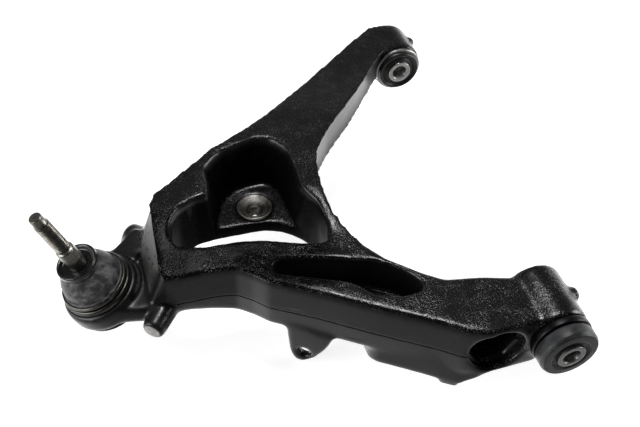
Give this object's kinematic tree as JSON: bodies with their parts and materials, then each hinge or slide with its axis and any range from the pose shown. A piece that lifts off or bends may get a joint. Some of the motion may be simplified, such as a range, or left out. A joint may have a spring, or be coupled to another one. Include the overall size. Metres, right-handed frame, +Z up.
{
  "type": "control arm",
  "caption": "Cast lower front suspension arm with pivot bushings, a pressed-in ball joint, a shock pocket and a torsion-bar socket.",
  "frame": {"origin": "midpoint of the pivot axis, halfway between the outer ends of the front and rear inner sleeves", "axes": "+Z up, +Y along the pivot axis towards the front bushing, -X towards the ball joint"},
  "size_m": [0.4674, 0.4965, 0.187],
  "materials": {
    "black_painted_casting": "gloss black paint over rough casting",
    "machined_seat_steel": "machined",
    "front_shell_plated_steel": "plated",
    "rear_shell_black_steel": "black coated",
    "front_bushing_rubber": "moulded",
    "rear_bushing_rubber": "moulded",
    "front_sleeve_plated_steel": "plated",
    "rear_sleeve_steel": "turned",
    "ball_joint_housing_steel": "phosphated",
    "snap_ring_steel": "spring steel",
    "housing_cover_steel": "pressed",
    "preload_washer_spring_steel": "spring steel",
    "lower_race_steel": "ground",
    "upper_race_steel": "ground",
    "ball_liner_polymer": "moulded",
    "ball_stud_bright_steel": "bright turned",
    "dust_boot_rubber": "dusty moulded",
    "boot_clamp_ring_steel": "bright edge",
    "boot_neck_ring_steel": "spring steel",
    "boot_lip_rubber": "glossy"
  },
  "bodies": {
    "arm": {"control_arm_casting": "black_painted_casting", "shock_seat": "machined_seat_steel", "front_bushing_shell": "front_shell_plated_steel", "front_bushing_rubber": "front_bushing_rubber", "rear_bushing_shell": "rear_shell_black_steel", "rear_bushing_rubber": "rear_bushing_rubber", "ball_joint_housing": "ball_joint_housing_steel", "housing_snap_ring": "snap_ring_steel", "housing_cover": "housing_cover_steel", "preload_washer": "preload_washer_spring_steel", "lower_race": "lower_race_steel", "upper_race": "upper_race_steel", "dust_boot": "dust_boot_rubber", "boot_clamp_ring": "boot_clamp_ring_steel"},
    "front_sleeve": {"front_inner_sleeve": "front_sleeve_plated_steel"},
    "rear_sleeve": {"rear_inner_sleeve": "rear_sleeve_steel"},
    "liner": {"ball_liner": "ball_liner_polymer"},
    "lip": {"boot_lip": "boot_lip_rubber", "boot_neck_ring": "boot_neck_ring_steel"},
    "stud": {"ball_stud": "ball_stud_bright_steel"}
  },
  "joints": [
    {"name": "front_sleeve_twist", "type": "hinge", "parent": "arm", "child": "front_sleeve", "pos_m": [0, 0.248, 0], "axis": [0, 1, 0], "range_deg": [-30, 30], "stiffness_Nm_per_rad": 40},
    {"name": "rear_sleeve_twist", "type": "hinge", "parent": "arm", "child": "rear_sleeve", "pos_m": [0, -0.168, 0], "axis": [0, 1, 0], "range_deg": [-30, 30], "stiffness_Nm_per_rad": 40},
    {"name": "stud_tilt_in_out", "type": "hinge", "parent": "arm", "child": "liner", "pos_m": [-0.38663, -0.00816, -0.01674], "axis": [0, 1, 0], "range_deg": [-20, 20], "deforming": ["dust_boot"]},
    {"name": "stud_tilt_fore_aft", "type": "hinge", "parent": "liner", "child": "lip", "pos_m": [-0.38663, -0.00816, -0.01674], "axis": [0.9418, 0, 0.3361], "range_deg": [-20, 20], "deforming": ["dust_boot"]},
    {"name": "stud_spin", "type": "hinge", "parent": "lip", "child": "stud", "pos_m": [-0.38663, -0.00816, -0.01674], "axis": [-0.336, -0.026, 0.9415], "continuous": true}
  ],
  "couplings": [
    {"joint": "rear_sleeve_twist", "follows": "front_sleeve_twist", "ratio": 1}
  ]
}
